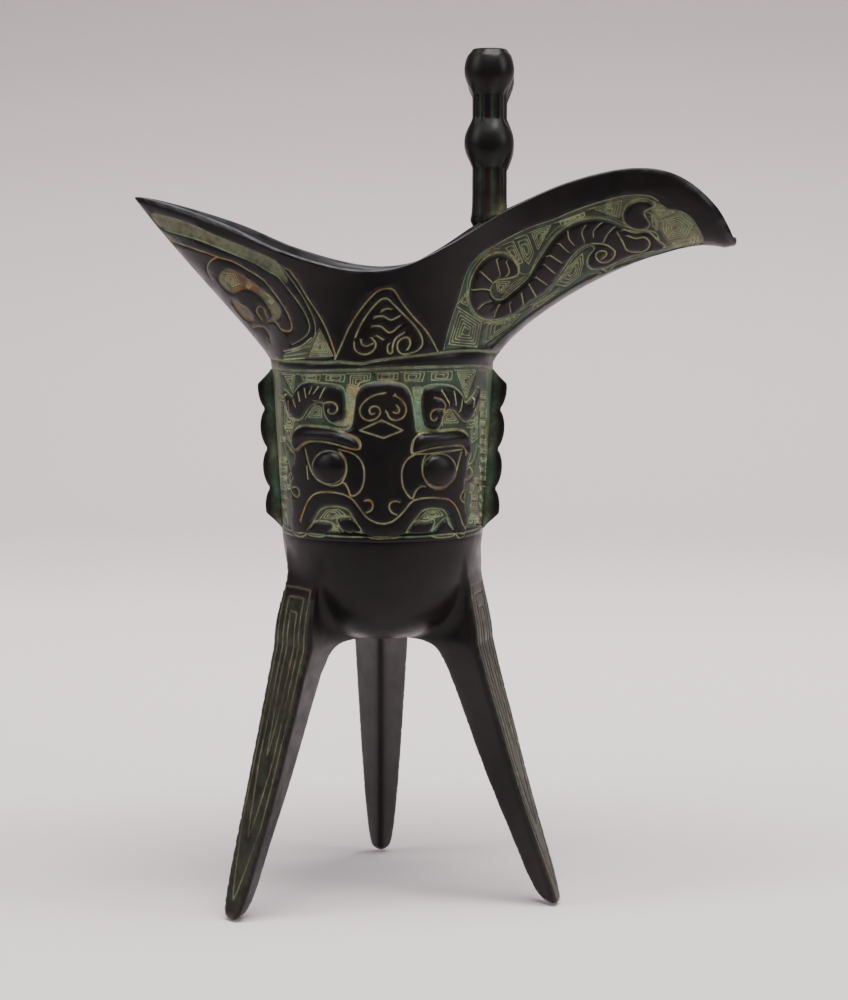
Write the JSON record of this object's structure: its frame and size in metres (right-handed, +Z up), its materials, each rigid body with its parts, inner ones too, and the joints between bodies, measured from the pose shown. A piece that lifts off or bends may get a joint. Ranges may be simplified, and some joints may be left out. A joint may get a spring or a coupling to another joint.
{
  "type": "bronze wine cup",
  "caption": "Hollow cast bronze wine cup (jue) on blade legs, with a long open spout, a pointed tail, capped posts, scalloped flanges and a strap handle.",
  "frame": {"origin": "on the plane of the feet, under the middle of the whole vessel's bounding box", "axes": "+X toward the spout, +Y toward the side with the handle, +Z up"},
  "size_m": [0.1482, 0.076, 0.2098],
  "materials": {
    "dark_bronze": "dark brown satin bronze patina, with dull green and olive corrosion in the recesses"
  },
  "bodies": {
    "root": {"jue_vessel": "dark_bronze"}
  },
  "joints": []
}
